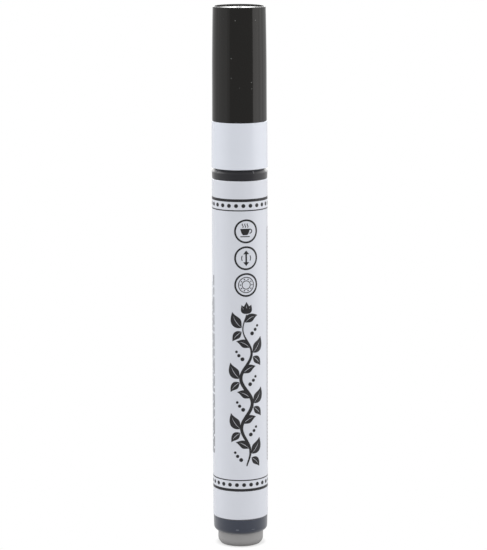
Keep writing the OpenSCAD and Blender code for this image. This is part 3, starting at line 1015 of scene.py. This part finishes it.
@dataclass
class ValveSpring:
    """The valve's spring: a coil of round wire with a closed turn at each end, made at one length though it shortens
    in use.

    Attributes:
        wire: Radius of the wire.
        closed_rise: Rise of a closed turn.
        open_turns: Number of turns between the closed ones.
        joint: The nib's press joint; not used.
    """

    TURN_STEPS = 24
    WIRE_SIDES = 12

    wire: float = 0.225 * MM
    closed_rise: float = 0.468 * MM
    open_turns: int = 5
    joint: str = "nib_press"

    def build(self, steel: Material) -> None:
        """Makes the spring, with its finish, in the place of its solid."""
        low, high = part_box("valve_spring")
        coil = self._coil(low.z, high.z, high.x - self.wire)
        seat(coil, "spring_coil", Body.BARREL, steel)
        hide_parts("valve_spring")
        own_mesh(coil)

    def _coil(self, low: float, high: float, radius: float) -> Mesh:
        """Models the coil.

        Args:
            low: Height of its lower end.
            high: Height of its upper end.
            radius: Mean radius.

        Returns:
            The coil.
        """
        turns = self.open_turns + 2
        first, last = low + self.wire, high - self.wire
        open_rise = (last - first - 2 * self.closed_rise) / self.open_turns

        def height(turn: float) -> float:
            """Height of the wire's middle at a turn count from the lower end."""
            if turn < 1:
                return first + self.closed_rise * turn
            if turn > turns - 1:
                return last - self.closed_rise * (turns - turn)
            return first + self.closed_rise + open_rise * (turn - 1)

        steps = turns * self.TURN_STEPS
        coil = made(bpy.ops.mesh.primitive_grid_add, x_subdivisions=steps, y_subdivisions=self.WIRE_SIDES, size=1)
        for vertex in coil.data.vertices:
            turn = (vertex.co.x + 0.5) * turns
            around = 2 * math.pi * (vertex.co.y + 0.5)
            reach = radius + self.wire * math.cos(around)
            angle = 2 * math.pi * turn
            rise = height(turn) + self.wire * math.sin(around)
            vertex.co = (reach * math.cos(angle), reach * math.sin(angle), rise)
        with editing():
            bpy.ops.mesh.remove_doubles(threshold=MERGE_GAP)
            bpy.ops.mesh.fill_holes(sides=0)
            bpy.ops.mesh.normals_make_consistent(inside=False)
        smooth()
        return coil


@dataclass
class FrontEnd:
    """The front section with the nib and the valve, with a finish for each piece and two colours for the nib."""

    section: Plastic = Plastic(
        "section_dark", srgb(37, 37, 41), roughness=0.25, tone=0.15, peel_height=0.000003, specular=0.25, sheen=0.33
    )
    holder: Plastic = Plastic("holder_natural", srgb(222, 220, 211), roughness=0.36, tone=0.06, translucency=0.2)
    nib_dry: Colour = srgb(214, 208, 194)
    nib_wet: Colour = srgb(30, 29, 30)
    valve: Plastic = Plastic("valve_natural", srgb(226, 224, 216), roughness=0.4, tone=0.06)
    rubber: Plastic = Plastic("valve_rubber", srgb(28, 28, 28), roughness=0.7, tone=0.2, peel_height=0.00001)
    spring: Steel = Steel("spring_steel", roughness=0.25)

    def build(self) -> None:
        """Dresses the front end's nodes and makes the spring."""
        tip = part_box("nib")[1].z
        dress(self.section, "front_section")
        dress(self.holder, "nib_holder")
        dress(PointFibre("nib_fibre", self.nib_dry, self.nib_wet, tip), "nib")
        dress(self.valve, "valve_housing", "valve_stem")
        dress(self.rubber, "valve_seat")
        ValveSpring().build(dress(self.spring, "valve_spring"))


@dataclass(frozen=True)
class Softbox:
    """A panel of even light, in metres, whose radiance of 1 shows as white."""

    name: str
    middle: Place
    faces: Place
    width: float
    height: float
    radiance: float
    tint: Colour = (1.0, 1.0, 1.0)

    def build(self) -> None:
        """Makes the lamp."""
        lamp = bpy.data.lights.new(self.name, "AREA")
        lamp.shape = "RECTANGLE"
        lamp.size = self.width
        lamp.size_y = self.height
        lamp.energy = self.radiance * math.pi * self.width * self.height
        lamp.color = self.tint
        panel = bpy.data.objects.new(self.name, lamp)
        bpy.context.scene.collection.objects.link(panel)
        panel.location = self.middle
        panel.rotation_euler = Vector(self.faces).to_track_quat("-Z", "Y").to_euler()
        LOG.info("lit %s", self.name)


@dataclass
class Studio:
    """Camera, lamps and a white floor, set as in the photograph.

    Attributes:
        camera_place: The camera's place in metres.
        camera_dip: How far it looks down, in degrees.
        camera_roll: How far it is rolled, in degrees.
        lens: Focal length in millimetres.
        walls: Brightness of the room in front and behind.
        wall_turn: Shares of the way back between which the one passes into the other.
        band: Extra brightness of a band of light above the horizon.
        band_rise: Sines of the heights above the horizon between which the band sets in.
        band_fall: Sines of the heights between which it fades again.
        ceiling: Share of the band that is left overhead.
        floor_radius: Radius of the floor's disc.
        floor_glow: The floor's own brightness towards the camera.
        floor_gleam: The floor's own brightness in reflections.
        floor_white: The floor's colour, for the light that falls on it.
        shadow_reach: Distances from the axis between which the shadow fades into plain white.
        panels: The lamps.
    """

    SENSOR = 36.0
    CLIP = (0.05, 20.0)
    FLOOR_SIDES = 96

    camera_place: Place = (0.0009, -0.65, 0.184)
    camera_dip: float = 9.9865
    camera_roll: float = -0.155
    lens: float = 170.76
    walls: Point = (0.39, 0.64)
    wall_turn: Point = (-0.2, 0.5)
    band: float = 1.15
    band_rise: Point = (0.0, 0.3)
    band_fall: Point = (0.55, 0.8)
    ceiling: float = 0.15
    floor_radius: float = 0.3
    floor_glow: float = 0.5
    floor_gleam: float = 0.15
    floor_white: float = 0.4
    shadow_reach: Point = (0.0057, 0.0068)
    panels: tuple[Softbox, ...] = (
        Softbox("right_front", (0.55, -0.175, 0.15), (-1, 0, 0), 0.31, 0.7, 1.0, (1.01, 0.985, 0.97)),
        Softbox("right_middle", (0.55, 0.09, 0.15), (-1, 0, 0), 0.22, 0.7, 0.67, (1.01, 0.985, 0.97)),
        Softbox("right_back", (0.55, 0.35, 0.15), (-1, 0, 0), 0.3, 0.7, 0.2),
        Softbox("left_front", (-0.55, -0.52, 0.15), (1, 0, 0), 0.2, 0.7, 0.2),
        Softbox("left_middle", (-0.55, -0.21, 0.15), (1, 0, 0), 0.42, 0.7, 0.35),
        Softbox("left_back", (-0.55, 0.07, 0.15), (1, 0, 0), 0.14, 0.7, 0.23),
        Softbox("back_strip", (0, 0.8, 0.35), (0, -1, 0), 0.95, 0.4, 2.2),
        Softbox("left_high", (-0.6, 0.2, 0.5), (0.6, -0.2, -0.43), 0.5, 0.5, 1.5),
        Softbox("right_high", (0.6, 0.2, 0.5), (-0.6, -0.2, -0.43), 0.5, 0.5, 0.45, (1.0, 0.97, 0.92)),
    )

    def build(self) -> None:
        """Makes the studio."""
        for panel in self.panels:
            panel.build()
        self._camera()
        self._world()
        self._floor()

    def _camera(self) -> None:
        """Places the camera at the photograph's viewpoint."""
        lens = bpy.data.cameras.new("camera")
        lens.lens = self.lens
        lens.sensor_width = self.SENSOR
        lens.clip_start, lens.clip_end = self.CLIP
        camera = bpy.data.objects.new("camera", lens)
        bpy.context.scene.collection.objects.link(camera)
        tilt = Matrix.Rotation(math.radians(90 - self.camera_dip), 4, "X")
        roll = Matrix.Rotation(math.radians(self.camera_roll), 4, "Z")
        camera.matrix_world = Matrix.Translation(self.camera_place) @ tilt @ roll
        bpy.context.scene.camera = camera

    def _world(self) -> None:
        """Sets a grey room with a band of light above the horizon, which the camera sees as white."""
        world = bpy.data.worlds.new("room")
        bpy.context.scene.world = world
        sockets = Sockets.fresh(world)
        towards = sockets.add("ShaderNodeTexCoord").outputs["Generated"]
        up = sockets.part(towards, "Z")
        walls = sockets.map_range(sockets.part(towards, "Y"), *self.wall_turn, *self.walls)
        rise = sockets.map_range(up, *self.band_rise, 0.0, self.band)
        fall = sockets.map_range(up, *self.band_fall, 1.0, self.ceiling)
        level = sockets.math("ADD", walls, sockets.math("MULTIPLY", rise, fall))
        room, white = (
            sockets.add("ShaderNodeBackground", {"Color": (1, 1, 1), "Strength": strength}).outputs[0]
            for strength in (level, 1.0)
        )
        seen = sockets.add("ShaderNodeLightPath").outputs["Is Camera Ray"]
        sockets.add("ShaderNodeOutputWorld", {"Surface": sockets.blend(seen, room, white)})
        bpy.context.scene.view_settings.view_transform = "Standard"

    def _floor(self) -> None:
        """Lays a white floor that keeps the marker's shadow."""
        circle = bpy.ops.mesh.primitive_circle_add
        floor = made(circle, vertices=self.FLOOR_SIDES, radius=self.floor_radius, fill_type="NGON")
        floor.name = "floor"
        paint = bpy.data.materials.new("floor_white")
        sockets = Sockets.fresh(paint)
        ray = sockets.add("ShaderNodeLightPath").outputs
        seen = ray["Is Camera Ray"]
        mirrored = sockets.math("MAXIMUM", ray["Is Glossy Ray"], ray["Is Transmission Ray"])
        gleam = sockets.math("MULTIPLY", mirrored, self.floor_gleam)
        strength = sockets.math("ADD", sockets.math("MULTIPLY", seen, self.floor_glow), gleam)
        matt = sockets.add("ShaderNodeBsdfDiffuse", {"Color": (self.floor_white,) * 3}).outputs[0]
        glow = sockets.add("ShaderNodeEmission", {"Strength": strength}).outputs[0]
        lit = sockets.add("ShaderNodeAddShader", {0: matt, 1: glow}).outputs[0]
        plain = sockets.add("ShaderNodeEmission").outputs[0]
        away = sockets.add("ShaderNodeVectorMath", {0: sockets.place()}, operation="LENGTH").outputs["Value"]
        clear = sockets.map_range(away, *self.shadow_reach, 0.0, 1.0)
        both = sockets.blend(sockets.math("MULTIPLY", clear, seen), lit, plain)
        sockets.add("ShaderNodeOutputMaterial", {"Surface": both})
        paint.cycles.emission_sampling = "NONE"
        floor.data.materials.append(paint)


def main() -> None:
    """Builds the dressed marker and its studio."""
    logging.basicConfig(level=logging.INFO, format="%(message)s")
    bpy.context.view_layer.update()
    crown = Cap().build()
    Barrel().build()
    FrontEnd().build()
    MouldMarks().build(crown)
    Studio().build()


if __name__ == "__main__":
    main()
